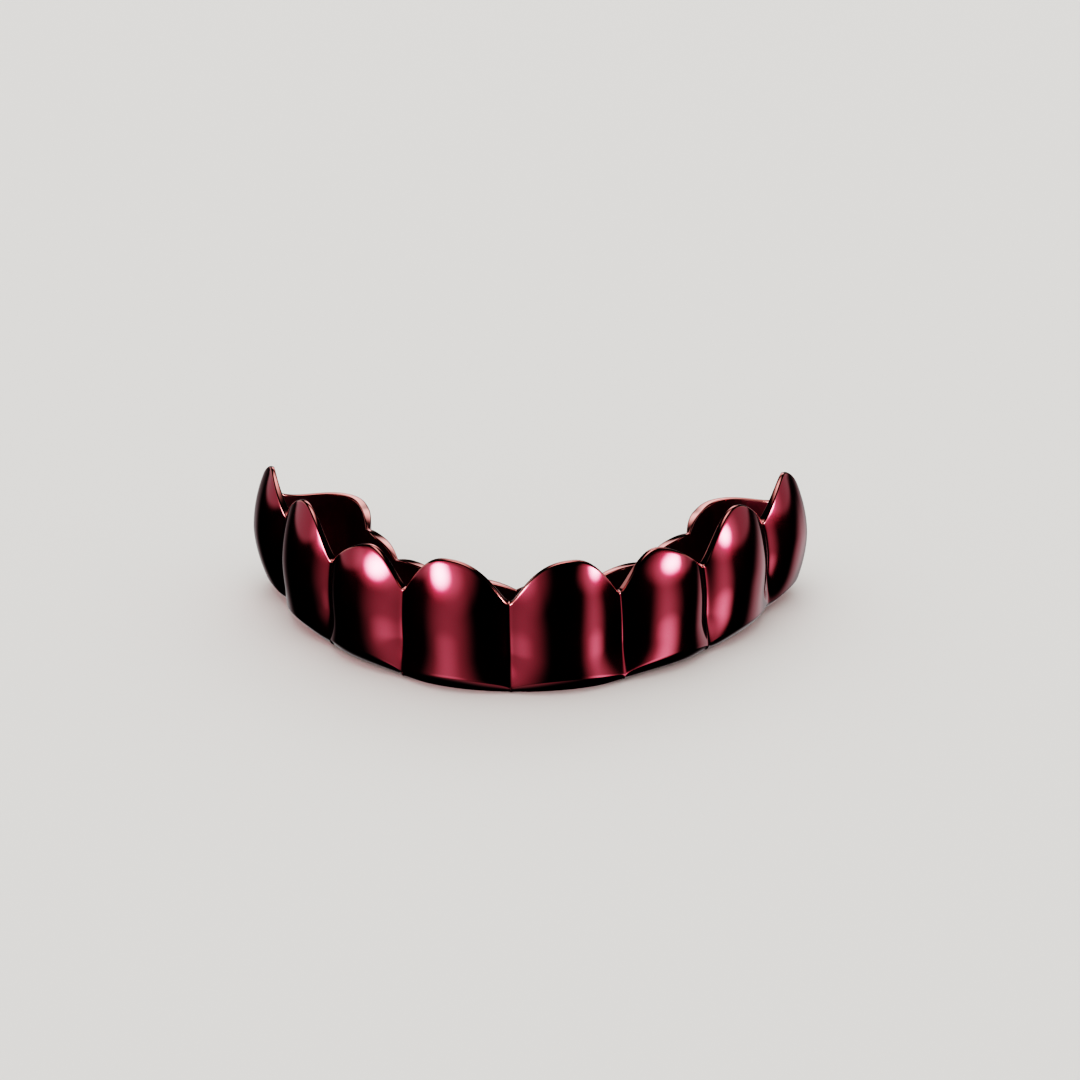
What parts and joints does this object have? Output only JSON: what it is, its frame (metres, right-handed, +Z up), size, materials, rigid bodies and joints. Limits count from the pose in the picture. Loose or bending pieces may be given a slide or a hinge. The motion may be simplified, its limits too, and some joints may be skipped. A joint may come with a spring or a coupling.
{
  "type": "upper dental grill",
  "caption": "Mirror-polished metal cover for the upper front teeth: joined tooth caps with scalloped gum edges, cast as one hollow arch.",
  "frame": {"origin": "middle of the foot of the box that the grill fills, on the plane that its biting edges rest on", "axes": "+X to the wearer's left, -Y to the front, +Z up to the gums, as it rests on its biting edges"},
  "size_m": [0.0458, 0.0238, 0.0115],
  "materials": {
    "wine_red_metal": "mirror-polished casting with a translucent wine-red coating"
  },
  "bodies": {
    "root": {"upper_grill": "wine_red_metal"}
  },
  "joints": []
}
